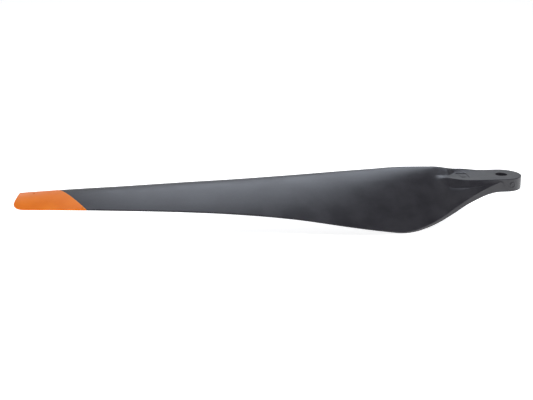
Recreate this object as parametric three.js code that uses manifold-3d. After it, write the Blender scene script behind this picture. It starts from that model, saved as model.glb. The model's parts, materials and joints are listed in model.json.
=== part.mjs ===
// One blade of a large folding propeller, moulded in fibre-filled plastic, with a painted tip.
// Millimetres. The origin is the middle of the hinge bore: +X runs out along the span to the tip,
// +Y runs from the leading edge to the trailing edge, and +Z is up along the hinge axis.

import * as THREE from "three";
import { mergeVertices } from "three/addons/utils/BufferGeometryUtils.js";
import Module from "manifold-3d";

const wasm = await Module();
wasm.setup();

// ---- Driving dimensions ----

const HELIX_PITCH = 520; // advance of the blade in one turn
const HINGE_OFFSET = 37.5; // from the rotor's axis to the hinge bore

const EYE_RADIUS = 18.4; // round end of the root, about the bore
const EYE_HALF_HEIGHT = 6; // the eye's flat faces lie at z = +6 and z = -6
const BORE_RADIUS = 5.5;
const BORE_CHAMFER = 0.6;
const EYE_SEGMENTS = 96;
const BORE_SEGMENTS = 64;

// Plan of the raised pad: corners of the side that lies in the blade's thick leading part, then curves
// round the nose (control point and end point), then the corner where it rejoins the eye.
const PAD_FLOOR = -2; // the pad runs down to here inside the blade
const PAD_LEADING = [[0, -14], [30, -14], [46, -9]];
const PAD_NOSE = [[54, -5, 56, 0], [57, 4.5, 53, 7], [45, 16.6, 33, 17.9]];
const PAD_TRAILING = [10, 18.5];

const MARK_CENTRE = { x: 37, y: 1 }; // shallow plain recess in the pad
const MARK_LENGTH = 10;
const MARK_WIDTH = 18;
const MARK_DEPTH = 0.5;
const MARK_ROUND = 2.5;
const MARK_SEGMENTS = 6;

const PIP_RADIUS = 3; // small round pip on the eye's side wall
const PIP_HEIGHT = 0.3;
const PIP_LENGTH = 2; // most of it lies inside the wall
const PIP_ANGLE = 109; // degrees from +X, towards the trailing side
const PIP_SEGMENTS = 32;

const TIP = {
  leadX: 442, // where the leading edge meets the tip edge
  endX: 445, // the outermost point
  leadRound: 3,
  leadLean: 0.3, // how far the tip edge has moved outboard at the end of the leading round
  trailRound: 10,
  roundLoss: 1, // the most that the trailing round shrinks on a line drawn in from the outline
};

const PAINT_LINE = { x: 408.5, lean: -0.715 }; // the masked edge: x at y = 0, and dx/dy
const PAINT_FILM = 0.2;
const PAINT_GAP = 0.15; // clearance between the film and the tongue inside it
const PAINT_EDGE_GAP = 0.3; // clearance between the film's inboard edge and the bare blade
const TONGUE_INSET = 1.8; // how far the tongue stays inside the outline, measured in plan

const CLEAR = 60; // farther from the hinge plane and from the span line than any edge of the blade
const CUT_PAST = 1; // cutting bodies pass the faces they cut by this
const CURVE_SEGMENTS = 12;

// Cross-sections from the hinge outwards. lead and trail are the edges' y, slope and drop give the
// chord line z = drop - slope * y, thick is the greatest height, edge is the height of the blunt
// trailing edge, nose is the length of the rounded leading part, and camber lifts the middle.
const STATIONS = [
  { x: 0, lead: -18.4, trail: 18.4, slope: 0, drop: 0, thick: 12, edge: 12, nose: 1, camber: 0 },
  { x: 10, lead: -18.8, trail: 20, slope: 0.044, drop: -0.8, thick: 12, edge: 8.6, nose: 1.6, camber: 0 },
  { x: 20, lead: -19.1, trail: 22.6, slope: 0.13, drop: -1.4, thick: 12, edge: 7, nose: 3, camber: 0.3 },
  { x: 30, lead: -19.5, trail: 26, slope: 0.23, drop: -2, thick: 12, edge: 6.2, nose: 6, camber: 0.8 },
  { x: 40, lead: -18.8, trail: 28.6, slope: 0.38, drop: -1.9, thick: 12, edge: 5.2, nose: 9.5, camber: 1.5 },
  { x: 50, lead: -16.8, trail: 29.8, slope: 0.59, drop: -1.8, thick: 11.4, edge: 4.6, nose: 12.5, camber: 2 },
  { x: 60, lead: -16, trail: 33.6, slope: 0.68, drop: -1.4, thick: 10.6, edge: 4, nose: 14.5, camber: 2.5 },
  { x: 80, lead: -15.5, trail: 44, slope: 0.68, thick: 9.4, edge: 2.8, nose: 18, camber: 2.8 },
  { x: 100, lead: -17, trail: 52.4, thick: 8.6, edge: 1.8, nose: 21, camber: 3.2 },
  { x: 120, lead: -17.2, trail: 55, thick: 7.9, edge: 1.4, nose: 22, camber: 3.2 },
  { x: 150, lead: -17, trail: 55, thick: 7.1, edge: 1.2, nose: 22, camber: 3 },
  { x: 200, lead: -14.9, trail: 49.6, thick: 6, edge: 1.1, nose: 20, camber: 2.6 },
  { x: 250, lead: -12, trail: 44.9, thick: 5.2, edge: 1.1, nose: 17.5, camber: 2.2 },
  { x: 300, lead: -9.3, trail: 41.9, thick: 4.5, edge: 1, nose: 16, camber: 1.9 },
  { x: 350, lead: -5.4, trail: 39.7, thick: 3.9, edge: 1, nose: 14, camber: 1.6 },
  { x: 400, lead: -1.7, trail: 37.6, thick: 3.3, edge: 0.9, nose: 12, camber: 1.3 },
  { x: 445, lead: 3.2, trail: 36, thick: 2.7, edge: 0.9, nose: 10.5, camber: 1.1 },
].map((s) => ({
  slope: HELIX_PITCH / (2 * Math.PI * (s.x + HINGE_OFFSET)), // outboard sections follow the helix
  drop: 0,
  ...s,
}));

const CAMBER_PEAK = 0.45; // share of the chord where the mean line is highest
const FULL_SHARE = 0.32; // share of the chord where the section starts to thin
const THINNING = 1.6; // how the section thins towards the trailing edge

// ---- Section formulas ----

// A smooth curve through one column of the stations.
function along(x, key) {
  const n = STATIONS.length;
  let i = 0;
  while (i < n - 2 && x > STATIONS[i + 1].x) i += 1;
  const step = (j) => STATIONS[j + 1].x - STATIONS[j].x;
  const rise = (j) => (STATIONS[j + 1][key] - STATIONS[j][key]) / step(j);
  const tangent = (j) => {
    if (j === 0) return 0;
    if (j === n - 1) return rise(n - 2);
    return (rise(j - 1) * step(j) + rise(j) * step(j - 1)) / (step(j - 1) + step(j));
  };
  const h = step(i);
  const t = (x - STATIONS[i].x) / h;
  const a = STATIONS[i][key];
  const b = STATIONS[i + 1][key];
  return (
    (1 + 2 * t) * (1 - t) ** 2 * a +
    t * (1 - t) ** 2 * h * tangent(i) +
    t * t * (3 - 2 * t) * b -
    t * t * (1 - t) * h * tangent(i + 1)
  );
}

// Heights of the upper and lower faces at a distance s behind the leading edge.
function faces(x, s) {
  const lead = along(x, "lead");
  const chord = along(x, "trail") - lead;
  const thick = along(x, "thick");
  const nose = along(x, "nose");
  const peak = CAMBER_PEAK * chord;
  const ahead = 1 - Math.min(s / peak, 1);
  const behind = Math.max((s - peak) / (chord - peak), 0);
  const middle =
    along(x, "drop") -
    along(x, "slope") * (lead + s) +
    along(x, "camber") * (1 - ahead ** 2 - behind ** 2);
  const full = Math.max(nose, FULL_SHARE * chord);
  const aft = Math.max((s - full) / (chord - full), 0);
  const round = Math.sqrt(Math.max(0, 1 - (1 - Math.min(s / nose, 1)) ** 2));
  const half = (thick / 2) * round * (1 - (1 - along(x, "edge") / thick) * aft ** THINNING);
  return { top: middle + half, bottom: middle - half };
}

// Shares of the chord for the points of one face, close together at the leading edge.
const NOSE_SHARES = [0.004, 0.016, 0.04, 0.08, 0.13, 0.19];
const BODY_SHARES = [0.27, 0.36, 0.46, 0.56, 0.66, 0.76, 0.86, 0.94];

// One closed section in the y-z plane. inset draws the edges in, and shave takes a layer off each face.
function section(x, inset, shave) {
  const lead = along(x, "lead");
  const chord = along(x, "trail") - lead;
  const marks = [0, ...NOSE_SHARES, ...BODY_SHARES, 1].map((v) => inset + v * (chord - 2 * inset));
  const points = [];
  for (const s of marks) points.push([lead + s, faces(x, s).top - shave]);
  for (const s of marks.slice(inset > 0 ? 0 : 1).reverse()) {
    points.push([lead + s, faces(x, s).bottom + shave]);
  }
  return points.map(([y, z]) => new THREE.Vector3(x, y, z));
}

// ---- Solids ----

function solidOf(geometry) {
  const bare = geometry.clone();
  bare.deleteAttribute("normal");
  bare.deleteAttribute("uv");
  const merged = mergeVertices(bare, 1e-4);
  return new wasm.Manifold(
    new wasm.Mesh({
      numProp: 3,
      vertProperties: merged.attributes.position.array,
      triVerts: new Uint32Array(merged.index.array),
    }),
  );
}

function geometryOf(solid) {
  const mesh = solid.getMesh();
  const positions = new Float32Array(mesh.numVert * 3);
  for (let i = 0; i < mesh.numVert; i += 1) {
    const start = i * mesh.numProp;
    positions.set(mesh.vertProperties.subarray(start, start + 3), i * 3);
  }
  const geometry = new THREE.BufferGeometry();
  geometry.setAttribute("position", new THREE.BufferAttribute(positions, 3));
  geometry.setIndex(new THREE.BufferAttribute(mesh.triVerts, 1));
  geometry.computeVertexNormals();
  return geometry;
}

// A skin over equal loops of points. A ladder of triangles across the loop closes each flat end.
function loft(loops) {
  const count = loops[0].length;
  const positions = loops.flat().flatMap((p) => [p.x, p.y, p.z]);
  const index = [];
  for (let i = 0; i + 1 < loops.length; i += 1) {
    for (let j = 0; j < count; j += 1) {
      const a = i * count + j;
      const b = i * count + ((j + 1) % count);
      index.push(a, a + count, b, b, a + count, b + count);
    }
  }
  const last = (loops.length - 1) * count;
  for (let lo = 0, hi = count - 1; hi - lo > 1; lo += 1, hi -= 1) {
    index.push(lo, lo + 1, hi);
    index.push(last + lo, last + hi, last + lo + 1);
    if (hi - lo > 2) {
      index.push(lo + 1, hi - 1, hi);
      index.push(last + lo + 1, last + hi, last + hi - 1);
    }
  }
  const geometry = new THREE.BufferGeometry();
  geometry.setAttribute("position", new THREE.Float32BufferAttribute(positions, 3));
  geometry.setIndex(index);
  return solidOf(geometry);
}

// An outline in plan, pulled up from one height to another.
function prism(shape, from, to, curveSegments = CURVE_SEGMENTS) {
  const geometry = new THREE.ExtrudeGeometry(shape, {
    depth: to - from,
    bevelEnabled: false,
    curveSegments,
  });
  return solidOf(geometry.translate(0, 0, from));
}

function roundedRectangle(cx, cy, length, width, radius) {
  const shape = new THREE.Shape();
  const [x0, x1] = [cx - length / 2, cx + length / 2];
  const [y0, y1] = [cy - width / 2, cy + width / 2];
  shape.moveTo(x0 + radius, y0);
  shape.lineTo(x1 - radius, y0);
  shape.absarc(x1 - radius, y0 + radius, radius, -Math.PI / 2, 0);
  shape.lineTo(x1, y1 - radius);
  shape.absarc(x1 - radius, y1 - radius, radius, 0, Math.PI / 2);
  shape.lineTo(x0 + radius, y1);
  shape.absarc(x0 + radius, y1 - radius, radius, Math.PI / 2, Math.PI);
  shape.lineTo(x0, y0 + radius);
  shape.absarc(x0 + radius, y0 + radius, radius, Math.PI, 1.5 * Math.PI);
  return shape;
}

// Plan of the blade up to a line drawn in from its outline, rounded at both corners of the tip.
function tipOutline(inset) {
  const shape = new THREE.Shape();
  const behind = CLEAR - inset;
  const corner = TIP.trailRound - Math.min(inset, TIP.roundLoss);
  const trail = along(TIP.leadX - TIP.trailRound, "trail") - inset;
  const lead = along(TIP.leadX, "lead") + inset;
  const end = TIP.endX - inset;
  const start = TIP.leadX - inset;
  shape.moveTo(-EYE_RADIUS, -behind);
  shape.lineTo(start - TIP.leadRound, -behind);
  shape.lineTo(start - TIP.leadRound, lead);
  shape.quadraticCurveTo(start, lead, start + TIP.leadLean, lead + TIP.leadRound);
  shape.lineTo(end, trail - corner);
  shape.absarc(end - corner, trail - corner, corner, 0, Math.PI / 2);
  shape.lineTo(end - corner, behind);
  shape.lineTo(-EYE_RADIUS, behind);
  return shape;
}

// The side of the masked edge where the paint lies, moved outboard by the given amount.
function paintedSide(shift) {
  const at = (y) => PAINT_LINE.x + shift + PAINT_LINE.lean * y;
  const shape = new THREE.Shape();
  shape.moveTo(at(-CLEAR), -CLEAR);
  shape.lineTo(TIP.endX + CLEAR, -CLEAR);
  shape.lineTo(TIP.endX + CLEAR, CLEAR);
  shape.lineTo(at(CLEAR), CLEAR);
  return prism(shape, -CLEAR, CLEAR);
}

// Where the sections stand, from one end of a loft to the other.
const OUTER_SECTIONS = [
  0, 5, 10, 15, 20, 25, 30, 35, 40, 45, 50, 55, 60, 66, 73, 80, 88, 96, 105, 115, 127, 140, 155,
  175, 200, 225, 250, 275, 300, 325, 350, 370, 385, 400, 415, 430, 446,
];
const TIP_SECTIONS = [350, 370, 385, 400, 415, 430, 446];

function airfoil(sections, inset, shave) {
  const skin = loft(sections.map((x) => section(x, inset, shave)));
  return skin.intersect(prism(tipOutline(inset), -CLEAR, CLEAR));
}

function eyeDisc() {
  const height = 2 * EYE_HALF_HEIGHT;
  const disc = new THREE.CylinderGeometry(EYE_RADIUS, EYE_RADIUS, height, EYE_SEGMENTS);
  return solidOf(disc.rotateX(Math.PI / 2));
}

// The raised pad: flush with the eye's top, ending in a rounded nose on the blade's back.
function rootPad() {
  const shape = new THREE.Shape();
  const [start, ...corners] = PAD_LEADING;
  shape.moveTo(...start);
  for (const corner of corners) shape.lineTo(...corner);
  for (const curve of PAD_NOSE) shape.quadraticCurveTo(...curve);
  shape.lineTo(...PAD_TRAILING);
  shape.lineTo(0, EYE_RADIUS);
  return prism(shape, PAD_FLOOR, EYE_HALF_HEIGHT);
}

// The hinge bore with a chamfer at each mouth, as the body to take away.
function boreCutter() {
  const past = EYE_HALF_HEIGHT + CUT_PAST;
  const mouth = EYE_HALF_HEIGHT - BORE_CHAMFER;
  const wide = BORE_RADIUS + BORE_CHAMFER + CUT_PAST;
  const profile = [
    new THREE.Vector2(0, -past),
    new THREE.Vector2(wide, -past),
    new THREE.Vector2(BORE_RADIUS, -mouth),
    new THREE.Vector2(BORE_RADIUS, mouth),
    new THREE.Vector2(wide, past),
    new THREE.Vector2(0, past),
  ];
  return solidOf(new THREE.LatheGeometry(profile, BORE_SEGMENTS).rotateX(Math.PI / 2));
}

function markCutter() {
  const { x, y } = MARK_CENTRE;
  const outline = roundedRectangle(x, y, MARK_LENGTH, MARK_WIDTH, MARK_ROUND);
  return prism(outline, EYE_HALF_HEIGHT - MARK_DEPTH, EYE_HALF_HEIGHT + CUT_PAST, MARK_SEGMENTS);
}

function sidePip() {
  const pip = new THREE.CylinderGeometry(PIP_RADIUS, PIP_RADIUS, PIP_LENGTH, PIP_SEGMENTS);
  pip.rotateZ(-Math.PI / 2); // along +X
  pip.translate(EYE_RADIUS + PIP_HEIGHT - PIP_LENGTH / 2, 0, 0);
  pip.rotateZ(THREE.MathUtils.degToRad(PIP_ANGLE));
  return solidOf(pip);
}

function bladeSolid(outer) {
  const bare = outer.subtract(paintedSide(0));
  const tongue = airfoil(TIP_SECTIONS, TONGUE_INSET, PAINT_FILM + PAINT_GAP);
  return bare
    .add(eyeDisc())
    .add(rootPad())
    .add(sidePip())
    .add(tongue)
    .subtract(boreCutter())
    .subtract(markCutter());
}

function tipCoatSolid(outer) {
  const hollow = airfoil(TIP_SECTIONS, TONGUE_INSET - PAINT_GAP, PAINT_FILM);
  return outer.intersect(paintedSide(PAINT_EDGE_GAP)).subtract(hollow);
}

// ---- The assembly ----

const darkPlastic = new THREE.MeshStandardMaterial({ color: 0x3b3c42, roughness: 0.62, metalness: 0 });
const orangePaint = new THREE.MeshStandardMaterial({ color: 0xe07a1c, roughness: 0.5, metalness: 0 });

function named(name, solid, material) {
  const mesh = new THREE.Mesh(geometryOf(solid), material);
  mesh.name = name;
  return mesh;
}

const outerSkin = airfoil(OUTER_SECTIONS, 0, 0);
const propeller = new THREE.Group();
propeller.add(named("blade", bladeSolid(outerSkin), darkPlastic));
propeller.add(named("tip_coat", tipCoatSolid(outerSkin), orangePaint));

export default propeller;
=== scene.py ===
import json
import math

import bmesh
import bpy
import numpy as np
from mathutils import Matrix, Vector


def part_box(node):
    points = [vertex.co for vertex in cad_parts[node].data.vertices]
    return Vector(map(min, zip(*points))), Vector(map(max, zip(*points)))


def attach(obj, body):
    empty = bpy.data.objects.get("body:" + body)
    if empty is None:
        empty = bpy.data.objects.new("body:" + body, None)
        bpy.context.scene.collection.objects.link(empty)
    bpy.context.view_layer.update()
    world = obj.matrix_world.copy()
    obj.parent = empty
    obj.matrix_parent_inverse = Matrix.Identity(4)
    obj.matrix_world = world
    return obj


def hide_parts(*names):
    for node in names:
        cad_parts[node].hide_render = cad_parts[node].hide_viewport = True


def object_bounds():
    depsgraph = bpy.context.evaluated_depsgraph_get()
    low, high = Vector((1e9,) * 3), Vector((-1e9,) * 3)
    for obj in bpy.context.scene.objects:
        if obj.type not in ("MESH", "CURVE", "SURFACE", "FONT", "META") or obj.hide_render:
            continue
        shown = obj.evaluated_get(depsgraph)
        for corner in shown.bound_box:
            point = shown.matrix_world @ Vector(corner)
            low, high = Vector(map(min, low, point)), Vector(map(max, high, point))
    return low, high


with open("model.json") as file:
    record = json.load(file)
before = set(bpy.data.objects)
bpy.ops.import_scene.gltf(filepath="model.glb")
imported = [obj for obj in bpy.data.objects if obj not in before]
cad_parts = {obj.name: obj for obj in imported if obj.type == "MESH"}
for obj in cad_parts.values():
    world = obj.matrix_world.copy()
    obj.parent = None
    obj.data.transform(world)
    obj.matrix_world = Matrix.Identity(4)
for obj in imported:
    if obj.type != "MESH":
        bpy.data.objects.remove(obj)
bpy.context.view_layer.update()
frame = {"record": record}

scene = bpy.context.scene
millimetre = 0.001
mounts = {mount["name"]: mount["pos_m"] for mount in frame["record"]["mounts"]}


def inMillimetres(metres):
    return round(metres / millimetre, 3)


# camera, seen from behind the trailing edge and a little above the eye's flat face
cameraView = {
    "lookAt": (0.2237, 0.0462, 0.0),
    "distance": 0.974,
    "azimuth": 175.0,
    "elevation": 16.2,
    "lens": 75.0,
}


def makeCamera(view):
    azimuth = math.radians(view["azimuth"])
    elevation = math.radians(view["elevation"])
    back = Vector((
        math.sin(azimuth) * math.cos(elevation),
        -math.cos(azimuth) * math.cos(elevation),
        math.sin(elevation),
    ))
    data = bpy.data.cameras.new("camera")
    data.lens = view["lens"]
    data.sensor_width = 36.0
    data.clip_start = 0.05
    data.clip_end = 50.0
    camera = bpy.data.objects.new("camera", data)
    camera.location = Vector(view["lookAt"]) + back * view["distance"]
    camera.rotation_mode = "QUATERNION"
    camera.rotation_quaternion = (-back).to_track_quat("-Z", "Y")
    scene.collection.objects.link(camera)
    scene.camera = camera


makeCamera(cameraView)
print("camera placed")


# the blade's sections from the hinge outwards, in millimetres
# lead and trail are the edges, the chord line is z = drop - slope * y
stationKeys = ("x", "lead", "trail", "slope", "drop", "thick", "edge", "nose", "camber")
stations = [
    (0, -18.4, 18.4, 0.0, 0.0, 12.0, 12.0, 1.0, 0.0),
    (10, -18.8, 20.0, 0.044, -0.8, 12.0, 8.6, 1.6, 0.0),
    (20, -19.1, 22.6, 0.13, -1.4, 12.0, 7.0, 3.0, 0.3),
    (30, -19.5, 26.0, 0.23, -2.0, 12.0, 6.2, 6.0, 0.8),
    (40, -18.8, 28.6, 0.38, -1.9, 12.0, 5.2, 9.5, 1.5),
    (50, -16.8, 29.8, 0.59, -1.8, 11.4, 4.6, 12.5, 2.0),
    (60, -16.0, 33.6, 0.68, -1.4, 10.6, 4.0, 14.5, 2.5),
    (80, -15.5, 44.0, 0.68, 0.0, 9.4, 2.8, 18.0, 2.8),
    (100, -17.0, 52.4, None, 0.0, 8.6, 1.8, 21.0, 3.2),
    (120, -17.2, 55.0, None, 0.0, 7.9, 1.4, 22.0, 3.2),
    (150, -17.0, 55.0, None, 0.0, 7.1, 1.2, 22.0, 3.0),
    (200, -14.9, 49.6, None, 0.0, 6.0, 1.1, 20.0, 2.6),
    (250, -12.0, 44.9, None, 0.0, 5.2, 1.1, 17.5, 2.2),
    (300, -9.3, 41.9, None, 0.0, 4.5, 1.0, 16.0, 1.9),
    (350, -5.4, 39.7, None, 0.0, 3.9, 1.0, 14.0, 1.6),
    (400, -1.7, 37.6, None, 0.0, 3.3, 0.9, 12.0, 1.3),
    (445, 3.2, 36.0, None, 0.0, 2.7, 0.9, 10.5, 1.1),
]

bladeShape = {
    "helixPitch": 520.0,  # advance in one turn, which sets the outboard twist
    "hingeOffset": 37.5,  # rotor axis to hinge bore
    "eyeHalfHeight": inMillimetres(mounts["eye_top"][2]),
    "eyeSteps": 60,  # round the eye's half turn
    "boreRadius": 5.5,
    "boreRound": 0.35,
    "eyeRound": 0.6,  # rim of the eye and edge of the pad
    "crestRound": 0.45,  # upper corner of the blunt trailing edge
    "camberPeak": 0.45,
    "fullShare": 0.32,
    "thinning": 1.6,
    "boxyReach": 42.0,  # the leading side is boxy at the eye and elliptical from here on
    "rootNose": 0.4,  # share of the nose's length that the root keeps
    "rootNoseFade": (30.0, 60.0),
    "coveWidth": 5.5,
    "coveShare": 0.75,  # most of the ledge that the cove may take
    "coveLeast": 0.05,
    "roundShare": 0.35,  # most of the trailing edge's height that one rounding may take
}

# plan of the raised pad, from the eye along the trailing side and round the nose
padEdge = [(0, 18.4), (10, 18.5), (20, 18.9), (30, 18.5), (36, 17.8), (40, 16.5), (44, 14.4), (48, 11.8),
           (51, 9.2), (53.4, 6.2), (54.8, 3.0), (55.2, 0.0)]
padFar = [(55.2, -5.0), (54.5, -10.0), (53.0, -16.0), (51.0, -24.0)]

# how far the back stands above the pad along the leading edge
ridgeRise = [
    (0, 0.0), (18, 0.0), (25, 0.8), (30, 1.7), (38, 3.3),
    (46, 5.2), (52, 6.8), (58, 7.7), (68, 7.7),
]

ridge = {
    "rootY": -8.5,  # where the pad's face starts to rise, beside the mark
    "noseY": -1.0,  # and near the pad's nose
    "shift": (42.0, 50.0),
}

padBlend = {
    "rampIn": -3.0,  # the ramp round the pad's nose runs from inside its outline
    "rampOut": 10.5,
    "crisp": (3.0, 11.0),  # the ramp gives way to a crisp edge between these y
}

padReach = 72.0  # the pad shapes the back no further out than this
dipReach = 130.0  # and the hollow no further than this

hollow = {
    "centre": (57.0, -4.0),  # dip in the back just outboard of the pad's nose
    "depth": 1.0,
    "inboard": 8.0,
    "outboard": 9.0,
    "width": 6.0,
}

tipShape = {
    "leadX": 442.0,
    "leadLean": 0.3,
    "endX": inMillimetres(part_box("tip_coat")[1][0]),
    "leadRound": 3.0,
    "trailRound": 10.0,
    "edgeRound": 0.8,  # share of the half thickness that is rounded off at the tip
    "loops": 20,  # between the masked edge and the rounding
    "crowding": 1.15,  # higher draws them closer together towards the tip
    "roundLoops": 6,
    "arcPoints": 49,
    "sidePoints": 60,
}

paintLine = {"x": 408.5, "lean": -0.715, "skewStart": 290.0}  # masked edge: x at y = 0, and dx/dy


def hermite(x, knots, values):
    rise = np.diff(values) / np.diff(knots)
    step = np.diff(knots)
    tangent = np.empty(len(knots))
    tangent[1:-1] = (rise[:-1] * step[1:] + rise[1:] * step[:-1]) / (step[:-1] + step[1:])
    tangent[0] = 0.0
    tangent[-1] = rise[-1]
    i = np.clip(np.searchsorted(knots, x) - 1, 0, len(knots) - 2)
    h = step[i]
    t = (x - knots[i]) / h
    return (
        (1 + 2 * t) * (1 - t) ** 2 * values[i]
        + t * (1 - t) ** 2 * h * tangent[i]
        + t * t * (3 - 2 * t) * values[i + 1]
        - t * t * (1 - t) * h * tangent[i + 1]
    )


def stationTable():
    helix = bladeShape["helixPitch"] / (2 * math.pi)
    rows = []
    for row in stations:
        slope = row[3] if row[3] is not None else helix / (row[0] + bladeShape["hingeOffset"])
        rows.append([*row[:3], slope, *row[4:]])
    return dict(zip(stationKeys, np.array(rows, float).T))


table = stationTable()


def along(x, key):
    return hermite(np.asarray(x, float), table["x"], table[key])


def smoothStep(value, start, end):
    t = np.clip((value - start) / (end - start), 0.0, 1.0)
    return t * t * (3 - 2 * t)


def noseLength(x):
    # the root keeps a squarer leading side
    kept = bladeShape["rootNose"]
    return along(x, "nose") * (kept + (1 - kept) * smoothStep(x, *bladeShape["rootNoseFade"]))


def meanAndHalf(x, y):
    # middle surface and half height of the section, before its leading edge is rounded
    lead = along(x, "lead")
    chord = along(x, "trail") - lead
    thick = along(x, "thick")
    nose = noseLength(x)
    s = y - lead
    peak = bladeShape["camberPeak"] * chord
    ahead = 1 - np.clip(s / peak, 0, 1)
    behind = np.maximum((s - peak) / (chord - peak), 0)
    middle = along(x, "drop") - along(x, "slope") * y + along(x, "camber") * (1 - ahead**2 - behind**2)
    full = np.maximum(nose, bladeShape["fullShare"] * chord)
    aft = np.clip((s - full) / (chord - full), 0, 1)
    half = thick / 2 * (1 - (1 - along(x, "edge") / thick) * aft ** bladeShape["thinning"])
    return middle, half


def curvePoints(points, count):
    # a smooth run through the points, evenly spread
    points = np.array(points, float)
    run = np.concatenate([[0], np.cumsum(np.hypot(*np.diff(points, axis=0).T))])
    t = np.linspace(0, run[-1], count)
    return np.column_stack([hermite(t, run, points[:, 0]), hermite(t, run, points[:, 1])])


padOutline = np.vstack([
    curvePoints(padEdge, 260),
    curvePoints([padEdge[-1], *padFar], 80)[1:],
    [(-8.0, -24.0), (-8.0, 18.4)],
])


def padDistance(x, y):
    # distance in plan to the pad's outline, negative inside, and the nearest outline point's y
    a = padOutline
    b = np.roll(padOutline, -1, axis=0)
    shape = np.shape(x)
    p = np.column_stack([np.ravel(x), np.ravel(y)])
    edge = b - a
    length2 = np.maximum((edge**2).sum(1), 1e-12)
    rel = p[:, None, :] - a[None]
    t = np.clip((rel * edge).sum(2) / length2, 0, 1)
    away = np.sqrt(((rel - t[..., None] * edge) ** 2).sum(2))
    nearest = away.argmin(1)
    row = np.arange(len(p))
    nearY = a[nearest, 1] + t[row, nearest] * edge[nearest, 1]
    gap = away[row, nearest]
    crosses = (a[None, :, 1] > p[:, None, 1]) != (b[None, :, 1] > p[:, None, 1])
    rise = np.where(b[:, 1] == a[:, 1], 1e-12, b[:, 1] - a[:, 1])
    at = a[None, :, 0] + (p[:, None, 1] - a[None, :, 1]) * (b[:, 0] - a[:, 0])[None] / rise[None]
    inside = (crosses & (p[:, None, 0] < at)).sum(1) % 2 == 1
    return np.where(inside, -gap, gap).reshape(shape), nearY.reshape(shape)


# the back swells along the pad's foot, then falls away to the trailing edge
footFill = [
    (0, 0.0), (8, 0.0), (16, 1.5), (24, 3.2), (32, 4.2),
    (41, 4.6), (46, 3.8), (51, 2.3), (57, 0.9), (66, 0.0),
]

groove = {
    "wallShare": 0.44,  # part of the cove taken by the pad's wall
    "wallPower": 1.5,  # higher makes the wall lean back more
    "depth": 0.9,  # how far the cove sinks at the wall's foot
    "fillStart": 0.42,  # share of the ledge where the swell starts to fall away
}


def dipAt(x, y):
    cx, cy = hollow["centre"]
    reach = np.where(x < cx, hollow["inboard"], hollow["outboard"])
    return hollow["depth"] * np.exp(-(((x - cx) / reach) ** 2) - ((y - cy) / hollow["width"]) ** 2)


def readTable(pairs, x):
    # a smooth curve through pairs of x and value, level beyond both ends
    knots = np.array(pairs, float)
    return hermite(np.clip(x, knots[0, 0], knots[-1, 0]), knots[:, 0], knots[:, 1])


def padHeight(x, y):
    # flat, then rising gently to the leading ridge
    start = ridge["rootY"] + (ridge["noseY"] - ridge["rootY"]) * smoothStep(x, *ridge["shift"])
    side = np.clip((start - y) / (start - along(x, "lead")), 0, 1)
    return bladeShape["eyeHalfHeight"] + readTable(ridgeRise, x) * side


def topHeight(x, y, base):
    # the back's own height, cut down or built up to the pad
    rim = bladeShape["eyeRound"]
    result = base - dipAt(x, y)
    near = x < padReach
    if not near.any():
        return result
    xs, ys, own = x[near], y[near], result[near]
    pad = padHeight(xs, ys)
    gap, nearY = padDistance(xs, ys)
    ledge = np.maximum(along(xs, "trail") - rowLineAt(xs), 0.1)
    fill = readTable(footFill, xs) * (1 - smoothStep(gap / ledge, groove["fillStart"], 1.0))
    own = own + fill
    edgeShare = np.clip(1 + gap / rim, 0, 1)
    roundOff = rim * np.clip((pad - own) / (2 * rim), 0, 1) * (1 - np.sqrt(1 - edgeShare**2))
    reach = np.maximum(gap, 0) / coveWidthAt(xs)
    away = np.clip(1 - reach / groove["wallShare"], 0, 1)
    sunk = smoothStep(reach, 0.0, groove["wallShare"]) * (1 - smoothStep(reach, groove["wallShare"], 1.0))
    deep = groove["depth"] * coveWidthAt(xs) / bladeShape["coveWidth"] * sunk
    wall = own + np.maximum(pad - rim - own, 0) * away ** groove["wallPower"] - deep
    crisp = np.where(gap < 0.01, pad - roundOff, wall)
    gentle = own + (pad - own) * (1 - smoothStep(gap, padBlend["rampIn"], padBlend["rampOut"]))
    result[near] = gentle + (crisp - gentle) * smoothStep(nearY, *padBlend["crisp"])
    return result


# line that the side rows follow: the pad's edge, then the middle of the chord
rowLine = [
    *padEdge[:-3],
    (53.5, 7.0), (57, 5.4), (62, 5.0), (72, 6.5), (90, 9.5), (110, 12.0), (130, 13.0),
]

rowSpread = {
    "middle": 0.42,  # share of the chord where the rows run over the plain airfoil
    "fade": (90.0, 130.0),
    "open": (54.0, 110.0),  # the side rows stand close beside the pad and open out here
    "edgeScale": 5.0,
    "cove": 4.0,
    "step": (0.03, 0.6),  # first step below the pad's edge, close and opened out
}


def rowLineAt(x):
    lead = along(x, "lead")
    outer = lead + rowSpread["middle"] * (along(x, "trail") - lead)
    near = readTable(rowLine, x)
    return near + (outer - near) * smoothStep(x, *rowSpread["fade"])


def coveWidthAt(x):
    ledge = along(x, "trail") - rowLineAt(x)
    return np.clip(bladeShape["coveShare"] * ledge, bladeShape["coveLeast"], bladeShape["coveWidth"])


# rows of one loop round the blade, in order from the underside of the leading edge
rowCounts = {
    "nose": 27,
    "top": 35,
    "edge": 5,  # rounding of the pad's edge
    "cove": 6,  # its wall and fillet
    "ledge": 5,
    "crest": 4,
    "strip": 3,  # blunt trailing edge
    "belly": 4,  # rounding under it
    "bottom": 51,
}
sideKeys = ("edge", "cove", "ledge", "crest", "strip", "belly")
rowStart = dict(zip(rowCounts, np.cumsum([0, *list(rowCounts.values())[:-1]])))
rowTotal = sum(rowCounts.values())
frontRow = rowCounts["nose"] // 2  # the leading edge itself


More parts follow.
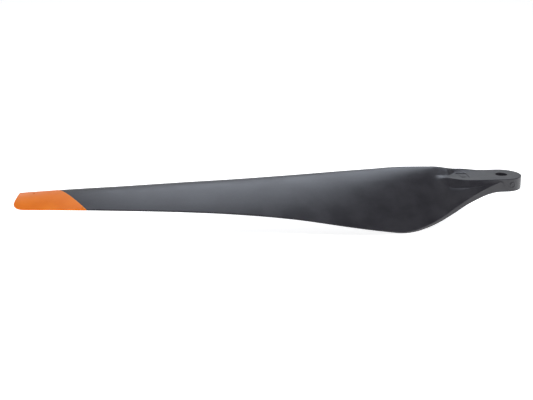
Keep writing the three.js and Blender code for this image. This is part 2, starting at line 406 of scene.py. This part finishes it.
def eyeSide():
    # how far each side row stands in from the eye's wall, and its height, from the top down
    rim = bladeShape["eyeRound"]
    high = bladeShape["eyeHalfHeight"]
    turn = np.linspace(0, math.pi / 2, rowCounts["edge"])
    upper = np.column_stack([rim * (1 - np.sin(turn)), high - rim * (1 - np.cos(turn))])
    turn = np.linspace(0, math.pi / 2, rowCounts["belly"])
    lower = np.column_stack([rim * (1 - np.cos(turn)), -high + rim * (1 - np.sin(turn))])
    between = rowCounts["nose"] - len(upper) - len(lower)
    wall = np.linspace(upper[-1, 1], lower[0, 1], between + 2)[1:-1]
    return np.vstack([upper, np.column_stack([np.zeros(between), wall]), lower])


eyeRows = eyeSide()


def frontRound(x, y):
    # rounding of the leading edge, 0 at the edge and 1 behind the nose
    share = np.clip((y - along(x, "lead")) / noseLength(x), 0, 1)
    return np.sqrt(np.clip(1 - (1 - share) ** 2, 0, 1))


def quarterTurn(count):
    return np.linspace(0, math.pi / 2, count)


def loopAt(station):
    # one closed loop of points round the blade
    lead, trail, edge = (float(along(station, key)) for key in ("lead", "trail", "edge"))
    nose = float(noseLength(station))
    chord = trail - lead

    # boxy leading side at the eye, elliptical further out
    roundness = float(smoothStep(station, 0.0, bladeShape["boxyReach"]))
    turn = np.linspace(-math.pi / 2, math.pi / 2, rowCounts["nose"])
    box = eyeRows[::-1]
    noseY = lead + (1 - roundness) * box[:, 0] + roundness * nose * (1 - np.cos(turn))
    noseQ = (1 - roundness) * box[:, 1] / bladeShape["eyeHalfHeight"] + roundness * np.sin(turn)

    # rows that follow the pad's edge, then spread over the plain airfoil
    spread = float(smoothStep(station, *rowSpread["open"]))
    lineY = float(rowLineAt(station))
    steep = float(rowLineAt(station + 1.5) - rowLineAt(station - 1.5)) / 3
    scale = (1 - spread) * math.hypot(1, steep) + spread * rowSpread["edgeScale"]
    rim = bladeShape["eyeRound"] * scale
    cove = float(coveWidthAt(station)) * (1 - spread) + spread * rowSpread["cove"]
    edgeY = lineY + rim * (np.sin(quarterTurn(rowCounts["edge"])) - 1)
    reach = 1 - np.cos(quarterTurn(rowCounts["cove"] + 1)[1:])
    crest = min(bladeShape["crestRound"], bladeShape["roundShare"] * edge)
    coveEnd = min(lineY + cove * scale, trail - crest - 0.2)
    closeStep, openStep = rowSpread["step"]
    step = closeStep * (1 - spread) + openStep * spread
    coveY = lineY + step + (coveEnd - lineY - step) * (reach - reach[0]) / (reach[-1] - reach[0])
    ledgeY = np.linspace(coveEnd, trail - crest, rowCounts["ledge"] + 2)[1:-1]
    topY = np.linspace(noseY[-1], edgeY[0], rowCounts["top"] + 2)[1:-1]

    turn = quarterTurn(rowCounts["crest"])
    crestY = trail - crest * (1 - np.sin(turn))
    crestQ = 1 - 2 * crest / edge * (1 - np.cos(turn))
    belly = min(bladeShape["eyeRound"], bladeShape["roundShare"] * edge)
    turn = quarterTurn(rowCounts["belly"])
    bellyY = trail - belly * (1 - np.cos(turn))
    bellyQ = -1 + 2 * belly / edge * (1 - np.sin(turn))
    stripQ = np.linspace(crestQ[-1], bellyQ[0], rowCounts["strip"] + 2)[1:-1]
    bottomY = np.linspace(bellyY[-1], noseY[0], rowCounts["bottom"] + 2)[1:-1]

    upperY = np.concatenate([topY, edgeY, coveY, ledgeY])
    y = np.concatenate([noseY, upperY, crestY, np.full(len(stripQ), trail), bellyY, bottomY])
    q = np.concatenate([noseQ, np.ones(len(upperY)), crestQ, stripQ, bellyQ, -np.ones(len(bottomY))])
    share = (y - lead) / chord

    # towards the tip the loops turn until one lies along the masked edge
    lean = paintLine["lean"] * float(smoothStep(station, paintLine["skewStart"], paintLine["x"]))
    x = np.full(len(y), float(station))
    if lean:
        for _ in range(8):
            x = station + lean * y
            y = along(x, "lead") + share * (along(x, "trail") - along(x, "lead"))
    middle, half = meanAndHalf(x, y)
    z = middle + q * half
    if station < dipReach:
        flat = middle + half
        z = z + np.maximum(q, 0) * (topHeight(x, y, flat) - flat)

    # beside the eye the side rows still follow its plain wall
    side = slice(rowStart["edge"], rowStart["bottom"])
    grown = float(smoothStep(station, 0.0, 6.0))
    y[side] = (1 - grown) * (trail - eyeRows[:, 0]) + grown * y[side]
    z[side] = (1 - grown) * eyeRows[:, 1] + grown * z[side]
    return np.column_stack([x, y, z]), q


def spacedPoints(points):
    # gives the point at any share of the way along a chain
    run = np.concatenate([[0], np.cumsum(np.hypot(*np.diff(points, axis=0).T))])
    return lambda share: np.column_stack([np.interp(share * run[-1], run, points[:, k]) for k in (0, 1)])


def arcPoints(cx, cy, radius, start, end, count):
    turn = np.radians(np.linspace(start, end, count))
    return np.column_stack([cx + radius * np.cos(turn), cy + radius * np.sin(turn)])


def maskedEdgeAt(key):
    # x where the masked edge meets the leading or the trailing edge
    x = paintLine["x"]
    for _ in range(60):
        x = paintLine["x"] + paintLine["lean"] * float(along(x, key))
    return x


def tipPlan():
    # the tip's outline in plan: its leading side, its end and its trailing side
    t = tipShape
    inner = t["leadX"] - t["leadRound"]
    leadEnd = float(along(inner, "lead"))
    bend = np.linspace(0, 1, 20)[:, None]
    corner = np.array([
        [inner, leadEnd],
        [t["leadX"], leadEnd],
        [t["leadX"] + t["leadLean"], leadEnd + t["leadRound"]],
    ])
    leadCurve = (1 - bend) ** 2 * corner[0] + 2 * bend * (1 - bend) * corner[1] + bend**2 * corner[2]
    outer = t["endX"] - t["trailRound"]
    trailEnd = float(along(outer, "trail"))
    turned = arcPoints(outer, trailEnd - t["trailRound"], t["trailRound"], 0, 90, t["arcPoints"])
    middle = t["arcPoints"] // 2  # the end takes one half of the arc and the trailing side the other
    end = np.vstack([leadCurve, turned[: middle + 1]])
    leadX = np.linspace(maskedEdgeAt("lead"), inner, t["sidePoints"])
    lead = np.column_stack([leadX, along(leadX, "lead")])
    trailX = np.linspace(maskedEdgeAt("trail"), outer, t["sidePoints"])
    trail = np.vstack([np.column_stack([trailX, along(trailX, "trail")]), turned[middle:-1][::-1]])
    return spacedPoints(lead), spacedPoints(end), spacedPoints(trail)


def tipLoops(firstLoop, q):
    # loops from the masked edge to the tip, blended between the four edges of the plan
    lead, end, trail = tipPlan()
    start = firstLoop[:, :2]
    x, y = start.T
    share = np.clip((y - along(x, "lead")) / (along(x, "trail") - along(x, "lead")), 0, 1)

    def plan(t):
        t = np.broadcast_to(t, share.shape)
        ends = end(share)
        first, last = np.zeros(1), np.ones(1)
        corners = (
            ((1 - share) * (1 - t))[:, None] * lead(first)
            + (share * (1 - t))[:, None] * trail(first)
            + ((1 - share) * t)[:, None] * lead(last)
            + (share * t)[:, None] * trail(last)
        )
        across = (1 - t)[:, None] * start + t[:, None] * ends
        down = (1 - share)[:, None] * lead(t) + share[:, None] * trail(t)
        return across + down - corners

    length = np.hypot(*(plan(1.0) - plan(0.98)).T) / 0.02  # of each row, as it nears the tip
    side = np.sign(q)
    side[frontRow] = 0
    body = np.abs(q)
    body[: rowCounts["nose"]] = 1.0

    def loop(t, sunk=0.0):
        at = plan(t)
        middle, half = meanAndHalf(at[:, 0], at[:, 1])
        rounded = half * frontRound(at[:, 0], at[:, 1])
        z = middle + side * body * np.maximum(rounded - sunk, 0)
        return np.column_stack([at, z]), rounded

    _, wall = loop(1.0)
    radius = tipShape["edgeRound"] * wall
    shares = 1 - (1 - np.linspace(0, 1, tipShape["loops"] + 2)[1:-1]) ** tipShape["crowding"]
    loops = [loop(t * (1 - radius / length))[0] for t in shares]
    for turn in quarterTurn(tipShape["roundLoops"]):
        sunk = radius * (1 - math.cos(turn))
        loops.append(loop(1 - radius * (1 - math.sin(turn)) / length, sunk)[0])
    return loops


class Skin:
    # points and faces gathered before they become a mesh
    def __init__(self):
        self.points = []
        self.faces = []
        self.count = 0

    def add(self, points):
        self.points.append(np.asarray(points, float))
        self.count += len(points)
        return self.count - len(points)

    def band(self, a, b, size, closed):
        # faces between two runs of points
        last = size if closed else size - 1
        for i in range(last):
            j = (i + 1) % size
            self.faces.append((a + i, b + i, b + j, a + j))

    def mesh(self, name, weld=0.002):
        data = bpy.data.meshes.new(name)
        points = np.vstack(self.points) * millimetre
        data.from_pydata(points.tolist(), [], self.faces)
        work = bmesh.new()
        work.from_mesh(data)
        bmesh.ops.remove_doubles(work, verts=work.verts[:], dist=weld * millimetre)
        bmesh.ops.dissolve_degenerate(work, edges=work.edges[:], dist=1e-7)
        bmesh.ops.recalc_face_normals(work, faces=work.faces[:])
        work.to_mesh(data)
        work.free()
        data.update()
        return data


def addEye(skin, loop):
    # the near half of the first loop, swung half a turn about the bore
    middleTop = rowStart["top"] + rowCounts["top"] // 2
    middleBottom = rowStart["bottom"] + rowCounts["bottom"] // 2
    half = loop[middleTop : middleBottom + 1]
    previous = None
    for turn in np.linspace(0, math.pi, bladeShape["eyeSteps"] + 1):
        swung = np.column_stack([-half[:, 1] * math.sin(turn), half[:, 1] * math.cos(turn), half[:, 2]])
        start = skin.add(swung)
        if previous is not None:
            skin.band(previous, start, len(half), False)
        previous = start


def addLoops(skin, loops):
    # the skin over a run of loops, closed at the tip
    starts = [skin.add(points) for points in loops]
    for a, b in zip(starts, starts[1:]):
        skin.band(a, b, rowTotal, True)
    addTipWall(skin, starts[-1], loops[-1])


def addTipWall(skin, start, loop):
    # closes the tip between its upper and lower rows
    upper = list(range(frontRow + 1, rowStart["strip"]))
    lower = [
        *range(frontRow - 1, -1, -1),
        *range(rowTotal - 1, rowStart["belly"] - 1, -1),
    ]
    count = rowCounts["strip"]
    steps = np.linspace(0, 1, count + 2)[1:-1, None]
    strip = [start + rowStart["strip"] + k for k in range(count)]
    front = start + frontRow
    previous = [front] * (count + 2)
    for a, b in zip(upper, lower):
        if a == upper[-1]:
            column = [start + a, *strip, start + b]
        else:
            first = skin.add(loop[a] + steps * (loop[b] - loop[a]))
            column = [start + a, *range(first, first + count), start + b]
        for k in range(count + 1):
            face = (previous[k], column[k], column[k + 1], previous[k + 1])
            skin.faces.append(tuple(dict.fromkeys(face)))
        previous = column


def stationRun():
    # close together round the pad's nose, wider over the plain airfoil, as (from, to, steps)
    runs = [(0, 40, 20), (40, 64, 36), (64, 88, 12), (88, paintLine["x"], 80)]
    return np.concatenate([[0.0], *[np.linspace(a, b, n + 1)[1:] for a, b, n in runs]])


loopsOut = [loopAt(station) for station in stationRun()]
tipRun = tipLoops(*loopsOut[-1])
print("sections shaped")


def bladeSkin():
    skin = Skin()
    addEye(skin, loopsOut[0][0])
    addLoops(skin, [points for points, _ in loopsOut] + tipRun)
    return skin.mesh("blade_moulding")


def coatSkin():
    skin = Skin()
    addLoops(skin, [loopsOut[-1][0]] + tipRun)
    return skin.mesh("tip_paint")


def place(name, data):
    piece = bpy.data.objects.new(name, data)
    scene.collection.objects.link(piece)
    return piece


def applied(piece):
    # the piece's modifiers, turned into its own mesh
    graph = bpy.context.evaluated_depsgraph_get()
    data = bpy.data.meshes.new_from_object(piece.evaluated_get(graph), depsgraph=graph)
    piece.modifiers.clear()
    old = piece.data
    piece.data = data
    bpy.data.meshes.remove(old)


def stack(outlines, name):
    # a closed body through equal outlines given as (points, height)
    skin = Skin()
    rings = []
    for points, height in outlines:
        rings.append(skin.add(np.column_stack([points, np.full(len(points), height)])))
    size = len(outlines[0][0])
    for a, b in zip(rings, rings[1:]):
        skin.band(a, b, size, True)
    for ring in (rings[0], rings[-1]):
        skin.faces.append(tuple(range(ring, ring + size)))
    return place(name, skin.mesh(name))


def lathe(profile, segments, name):
    # a closed body turned about Z from (radius, height) points
    turns = np.linspace(0, 2 * math.pi, segments, endpoint=False)
    circle = np.column_stack([np.cos(turns), np.sin(turns)])
    return stack([(radius * circle, height) for radius, height in profile], name)


def join(piece, tool, operation):
    cut = piece.modifiers.new(operation.lower(), "BOOLEAN")
    cut.operation = operation
    cut.solver = "EXACT"
    cut.object = tool
    applied(piece)
    bpy.data.objects.remove(tool)


def boreTool():
    high = bladeShape["eyeHalfHeight"]
    radius = bladeShape["boreRadius"]
    mouth = bladeShape["boreRound"]
    arc = np.radians(np.linspace(0, 78, 7))  # the round of the mouth stops just short of flat
    flare = [(radius + mouth * (1 - math.cos(a)), high - mouth + mouth * math.sin(a)) for a in arc]
    past = (flare[-1][0] + 2.5 * mouth, high + 0.6)  # clear of the face
    upper = [*flare, past]
    lower = [(r, -z) for r, z in reversed(upper)]
    return lathe(lower + upper, 96, "bore_tool")


markShape = {
    "centre": (37.0, 1.0),
    "length": 10.0,
    "width": 18.0,
    "depth": 0.5,
    "round": 2.5,
    "island": (4.4, 9.0, 0.32),  # plain raised middle: length, width, height
    "islandRound": 1.6,
}


def roundedOutline(centre, length, width, radius):
    cx, cy = centre
    corners = [(1, 1, 0), (-1, 1, 90), (-1, -1, 180), (1, -1, 270)]
    points = []
    for sx, sy, start in corners:
        x = cx + sx * (length / 2 - radius)
        y = cy + sy * (width / 2 - radius)
        points.append(arcPoints(x, y, radius, start, start + 90, 9))
    return np.vstack(points)


def softSlab(name, length, width, radius, layers):
    # a rounded slab about the mark's centre, through layers of (growth, height)
    outlines = []
    for grow, height in layers:
        points = roundedOutline(markShape["centre"], length + 2 * grow, width + 2 * grow, radius + grow)
        outlines.append((points, height))
    return stack(outlines, name)


def markTool():
    # rounded where the walls meet the floor and at the upper rim
    high = bladeShape["eyeHalfHeight"]
    floor = high - markShape["depth"]
    layers = [
        (-0.22, floor),
        (-0.08, floor + 0.05),
        (0.0, floor + 0.16),
        (0.04, high - 0.12),
        (0.16, high),
        (0.9, high + 0.7),
    ]
    return softSlab("mark_tool", markShape["length"], markShape["width"], markShape["round"], layers)


def markIsland():
    # starts under the recess's floor, so that the two join
    length, width, height = markShape["island"]
    floor = bladeShape["eyeHalfHeight"] - markShape["depth"]
    layers = [
        (0.1, floor - 0.3),
        (0.1, floor),
        (0.0, floor + 0.14),
        (-0.04, floor + height - 0.06),
        (-0.14, floor + height),
    ]
    return softSlab("mark_island", length, width, markShape["islandRound"], layers)


pipShape = {
    "radius": 3.0,
    "inner": 1.75,
    "height": 0.3,
    "angle": 109.0,  # from +X towards the trailing side
}


def pipTool():
    p = pipShape
    high = p["height"]
    middle = (p["radius"] + p["inner"]) / 2
    half = (p["radius"] - p["inner"]) / 2
    crown = [(middle + half * math.cos(a), high * math.sin(a)) for a in np.radians(np.arange(0, 181, 20))]
    profile = [(p["radius"], -1.2), *crown, (p["inner"] - 0.05, -0.02)]  # sunk into the eye's wall
    tool = lathe(profile, 48, "pip_tool")
    angle = math.radians(p["angle"])
    outward = Vector((math.cos(angle), math.sin(angle), 0))
    tool.rotation_mode = "QUATERNION"
    tool.rotation_quaternion = outward.to_track_quat("Z", "Y")
    tool.location = outward * (-stations[0][1]) * millimetre
    return tool


def finishShading(piece, angle=32.0):
    for face in piece.data.polygons:
        face.use_smooth = True
    piece.data.set_sharp_from_angle(angle=math.radians(angle))
    weighted = piece.modifiers.new("even_shading", "WEIGHTED_NORMAL")
    weighted.keep_sharp = True
    weighted.weight = 60


blade = place("blade_moulding", bladeSkin())
join(blade, boreTool(), "DIFFERENCE")
join(blade, markTool(), "DIFFERENCE")
join(blade, markIsland(), "UNION")
join(blade, pipTool(), "UNION")
finishShading(blade)
print("blade moulded", len(blade.data.vertices))

coatShape = {
    "under": 0.012,  # clearance over the moulding
    "film": 0.07,
}


def liftCoat(piece):
    work = bmesh.new()
    work.from_mesh(piece.data)
    work.normal_update()
    for vertex in work.verts:
        vertex.co += vertex.normal * coatShape["under"] * millimetre
    work.to_mesh(piece.data)
    work.free()
    film = piece.modifiers.new("film", "SOLIDIFY")
    film.thickness = coatShape["film"] * millimetre
    film.offset = 1.0
    applied(piece)


coat = place("tip_paint", coatSkin())
liftCoat(coat)
finishShading(coat)
print("tip painted", len(coat.data.vertices))

for piece, node, slotName in ((blade, "blade", "moulding"), (coat, "tip_coat", "tip_paint")):
    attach(piece, "root")
    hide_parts(node)


# node helpers and the group shared by the plastic and the paint
def newGroup(name, inputs, outputs):
    tree = bpy.data.node_groups.new(name, "ShaderNodeTree")
    for label, kind, value in inputs:
        socket = tree.interface.new_socket(name=label, in_out="INPUT", socket_type=kind)
        socket.default_value = value
    for label, kind in outputs:
        tree.interface.new_socket(name=label, in_out="OUTPUT", socket_type=kind)
    return tree


def addNode(tree, kind, **values):
    node = tree.nodes.new(kind)
    for key, value in values.items():
        setattr(node, key, value)
    return node


def mathNode(tree, operation, a, b):
    node = addNode(tree, "ShaderNodeMath", operation=operation)
    for socket, value in zip(node.inputs, (a, b)):
        if isinstance(value, (int, float)):
            socket.default_value = value
        else:
            tree.links.new(value, socket)
    return node.outputs[0]


def noiseNode(tree, vector, scale, detail, roughness=0.55):
    node = addNode(tree, "ShaderNodeTexNoise")
    tree.links.new(vector, node.inputs["Vector"])
    tree.links.new(scale, node.inputs["Scale"])
    node.inputs["Detail"].default_value = detail
    node.inputs["Roughness"].default_value = roughness
    return node.outputs[0]


def ramp(tree, value, low, high):
    node = addNode(tree, "ShaderNodeMapRange", interpolation_type="SMOOTHSTEP")
    tree.links.new(value, node.inputs["Value"])
    node.inputs["From Min"].default_value = low
    node.inputs["From Max"].default_value = high
    return node.outputs[0]


grainShape = {
    "coarseScale": 0.34,  # of the fine grain's scale
    "fineShare": 0.6,
    "fibreScale": 1.1,
    "fibreStretch": 0.22,  # lower draws the fibres out along the span
    "fibreFrom": 0.62,  # higher leaves fewer fibres
    "fibreTo": 0.75,
}


def grainGroup():
    # fine leathery grain of a moulded face, with soft clouds and short fibres along the span
    tree = newGroup(
        "moulded grain",
        [("Grain Scale", "NodeSocketFloat", 900.0), ("Cloud Scale", "NodeSocketFloat", 60.0)],
        [("Height", "NodeSocketFloat"), ("Clouds", "NodeSocketFloat"), ("Fibres", "NodeSocketFloat")],
    )
    into = addNode(tree, "NodeGroupInput")
    out = addNode(tree, "NodeGroupOutput")
    where = addNode(tree, "ShaderNodeTexCoord").outputs["Object"]
    g = grainShape
    grainScale = into.outputs["Grain Scale"]
    fine = noiseNode(tree, where, grainScale, 2.0)
    coarse = noiseNode(tree, where, mathNode(tree, "MULTIPLY", grainScale, g["coarseScale"]), 2.0)
    finePart = mathNode(tree, "MULTIPLY", fine, g["fineShare"])
    coarsePart = mathNode(tree, "MULTIPLY", coarse, 1 - g["fineShare"])
    height = mathNode(tree, "ADD", finePart, coarsePart)
    clouds = noiseNode(tree, where, into.outputs["Cloud Scale"], 5.0, 0.6)
    stretch = addNode(tree, "ShaderNodeMapping")
    stretch.inputs["Scale"].default_value = (g["fibreStretch"], 1.0, 1.0)
    tree.links.new(where, stretch.inputs["Vector"])
    strandScale = mathNode(tree, "MULTIPLY", grainScale, g["fibreScale"])
    strand = noiseNode(tree, stretch.outputs[0], strandScale, 1.0)
    tree.links.new(height, out.inputs["Height"])
    tree.links.new(clouds, out.inputs["Clouds"])
    tree.links.new(ramp(tree, strand, g["fibreFrom"], g["fibreTo"]), out.inputs["Fibres"])
    return tree


grain = grainGroup()


def blendColour(tree, mask, low, high):
    node = addNode(tree, "ShaderNodeMix", data_type="RGBA")
    tree.links.new(mask, node.inputs[0])
    for socket, value in ((node.inputs[6], low), (node.inputs[7], high)):
        if isinstance(value, tuple):
            socket.default_value = (*value, 1.0)
        else:
            tree.links.new(value, socket)
    return node.outputs[2]


def newMaterial(name, display):
    material = bpy.data.materials.new(name)
    material.use_nodes = True
    material.diffuse_color = (*display, 1.0)
    tree = material.node_tree
    return material, tree, tree.nodes["Principled BSDF"]


def useGrain(tree, grainScale, cloudScale):
    node = addNode(tree, "ShaderNodeGroup", node_tree=grain)
    node.inputs["Grain Scale"].default_value = grainScale
    node.inputs["Cloud Scale"].default_value = cloudScale
    return node


def addBump(tree, shader, height, strength, distance):
    node = addNode(tree, "ShaderNodeBump")
    node.inputs["Strength"].default_value = strength
    node.inputs["Distance"].default_value = distance
    tree.links.new(height, node.inputs["Height"])
    tree.links.new(node.outputs["Normal"], shader.inputs["Normal"])


mouldingLook = {
    "dark": (0.025, 0.024, 0.029),
    "light": (0.037, 0.036, 0.042),
    "fibre": (0.060, 0.061, 0.066),
    "fibreStrength": 0.22,
    "mottle": (0.32, 0.68),  # closer together makes the clouds crisper
    "refraction": 1.52,
    "roughLow": 0.31,
    "roughHigh": 0.39,
    "grainScale": 1500.0,
    "cloudScale": 55.0,
    "bumpStrength": 0.25,
    "bumpDistance": 0.00006,
}


def mouldingMaterial():
    look = mouldingLook
    material, tree, shader = newMaterial("fibre filled plastic", look["light"])
    texture = useGrain(tree, look["grainScale"], look["cloudScale"])
    clouds = ramp(tree, texture.outputs["Clouds"], *look["mottle"])
    base = blendColour(tree, clouds, look["dark"], look["light"])
    strands = mathNode(tree, "MULTIPLY", texture.outputs["Fibres"], look["fibreStrength"])
    colour = blendColour(tree, strands, base, look["fibre"])
    tree.links.new(colour, shader.inputs["Base Color"])
    spread = look["roughHigh"] - look["roughLow"]
    rough = mathNode(tree, "ADD", mathNode(tree, "MULTIPLY", clouds, spread), look["roughLow"])
    tree.links.new(rough, shader.inputs["Roughness"])
    shader.inputs["IOR"].default_value = look["refraction"]
    addBump(tree, shader, texture.outputs["Height"], look["bumpStrength"], look["bumpDistance"])
    return material


paintLook = {
    "orange": (0.80, 0.170, 0.002),
    "bright": (0.86, 0.205, 0.003),
    "thin": (0.55, 0.105, 0.002),
    "bead": (0.90, 0.29, 0.020),
    "beadFull": 0.0004,  # from the masked edge, in metres
    "beadWidth": 0.0011,
    "speckStrength": 0.10,
    "mottle": (0.3, 0.7),
    "refraction": 1.42,
    "roughLow": 0.27,
    "roughHigh": 0.34,
    "grainScale": 700.0,
    "cloudScale": 70.0,
    "bumpStrength": 0.18,
    "bumpDistance": 0.00008,
}


def paintMaterial():
    look = paintLook
    material, tree, shader = newMaterial("orange tip paint", look["orange"])
    texture = useGrain(tree, look["grainScale"], look["cloudScale"])
    clouds = ramp(tree, texture.outputs["Clouds"], *look["mottle"])
    base = blendColour(tree, clouds, look["orange"], look["bright"])
    specks = mathNode(tree, "MULTIPLY", texture.outputs["Fibres"], look["speckStrength"])
    base = blendColour(tree, specks, base, look["thin"])
    # the paint stands a little thicker and brighter along the masked edge
    parts = addNode(tree, "ShaderNodeSeparateXYZ")
    tree.links.new(addNode(tree, "ShaderNodeTexCoord").outputs["Object"], parts.inputs[0])
    across = mathNode(tree, "MULTIPLY", parts.outputs["Y"], -paintLine["lean"])
    levelled = mathNode(tree, "ADD", parts.outputs["X"], across)
    beyond = mathNode(tree, "SUBTRACT", levelled, paintLine["x"] * millimetre)
    bead = mathNode(tree, "SUBTRACT", 1.0, ramp(tree, beyond, look["beadFull"], look["beadWidth"]))
    colour = blendColour(tree, bead, base, look["bead"])
    tree.links.new(colour, shader.inputs["Base Color"])
    spread = look["roughHigh"] - look["roughLow"]
    rough = mathNode(tree, "ADD", mathNode(tree, "MULTIPLY", clouds, spread), look["roughLow"])
    tree.links.new(rough, shader.inputs["Roughness"])
    shader.inputs["IOR"].default_value = look["refraction"]
    addBump(tree, shader, texture.outputs["Height"], look["bumpStrength"], look["bumpDistance"])
    return material


def dress(piece, material):
    piece.data.materials.clear()
    piece.data.materials.append(material)
    for face in piece.data.polygons:
        face.material_index = 0


dress(blade, mouldingMaterial())
dress(coat, paintMaterial())
print("finishes made")


studio = {
    "floorDrop": 0.0006,  # under the lowest point of the blade
    "floorSize": 30.0,
    "floorColour": (0.86, 0.86, 0.86),
    "floorGlow": 0.82,
    "horizon": (0.58, 0.6, 0.6),
    "overhead": (0.06, 0.065, 0.072),
    "front": (0.14, 0.15, 0.16),
    "rise": (0.2, 0.5),  # the backdrop darkens upwards between these
    "turn": (-0.2, 0.5),  # and towards the near side between these
}

softboxes = {
    "top_fill": {
        "place": (0.3, 0.62, 1.6),
        "target": (0.22, 0.0, 0.0),
        "size": (1.5, 0.7),
        "power": 22.0,
        "tint": (1.0, 1.0, 1.0),
        "mirrored": False,  # lights the blade without showing in its gloss
    },
    "back_panel": {
        "place": (0.09, -0.75, 1.2),
        "target": (0.09, 0.0, 1.2),
        "size": (0.72, 1.54),
        "power": 8.0,
        "tint": (0.93, 1.0, 1.12),
        "mirrored": True,
    },
    "tip_panel": {
        "place": (0.8, -0.75, 0.45),
        "target": (0.42, 0.0, 0.0),
        "size": (0.5, 0.3),
        "power": 1.0,
        "tint": (1.0, 1.0, 1.0),
        "mirrored": True,
    },
}


def makeFloor():
    low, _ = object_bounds()
    size = studio["floorSize"]
    data = bpy.data.meshes.new("floor")
    z = low[2] - studio["floorDrop"]
    corners = [(-size, -size, z), (size, -size, z), (size, size, z), (-size, size, z)]
    data.from_pydata(corners, [], [(0, 1, 2, 3)])
    floor = place("floor", data)
    material, tree, shader = newMaterial("pale floor", studio["floorColour"])
    shader.inputs["Base Color"].default_value = (*studio["floorColour"], 1.0)
    shader.inputs["Roughness"].default_value = 0.9
    shader.inputs["Emission Color"].default_value = (1.0, 1.0, 1.0, 1.0)
    shader.inputs["Emission Strength"].default_value = studio["floorGlow"]
    data.materials.append(material)


def makeSky():
    # white backdrop low behind the blade, darker overhead and on the near side
    world = bpy.data.worlds.new("studio")
    world.use_nodes = True
    tree = world.node_tree
    background = tree.nodes["Background"]
    parts = addNode(tree, "ShaderNodeSeparateXYZ")
    tree.links.new(addNode(tree, "ShaderNodeTexCoord").outputs["Generated"], parts.inputs[0])
    rise = ramp(tree, parts.outputs["Z"], *studio["rise"])
    near = ramp(tree, parts.outputs["Y"], *studio["turn"])
    low = blendColour(tree, near, studio["horizon"], studio["front"])
    tree.links.new(blendColour(tree, rise, low, studio["overhead"]), background.inputs["Color"])
    scene.world = world


def addSoftbox(name, box):
    light = bpy.data.lights.new(name, "AREA")
    light.shape = "RECTANGLE"
    light.size, light.size_y = box["size"]
    light.energy = box["power"]
    light.color = box["tint"]
    item = bpy.data.objects.new(name, light)
    item.location = box["place"]
    aim = Vector(box["target"]) - Vector(box["place"])
    item.rotation_euler = aim.to_track_quat("-Z", "Y").to_euler()
    item.visible_camera = False
    item.visible_glossy = box["mirrored"]
    scene.collection.objects.link(item)


makeFloor()
makeSky()
for name, box in softboxes.items():
    addSoftbox(name, box)
scene.view_settings.view_transform = "Standard"
scene.view_settings.look = "None"
print("studio lit")
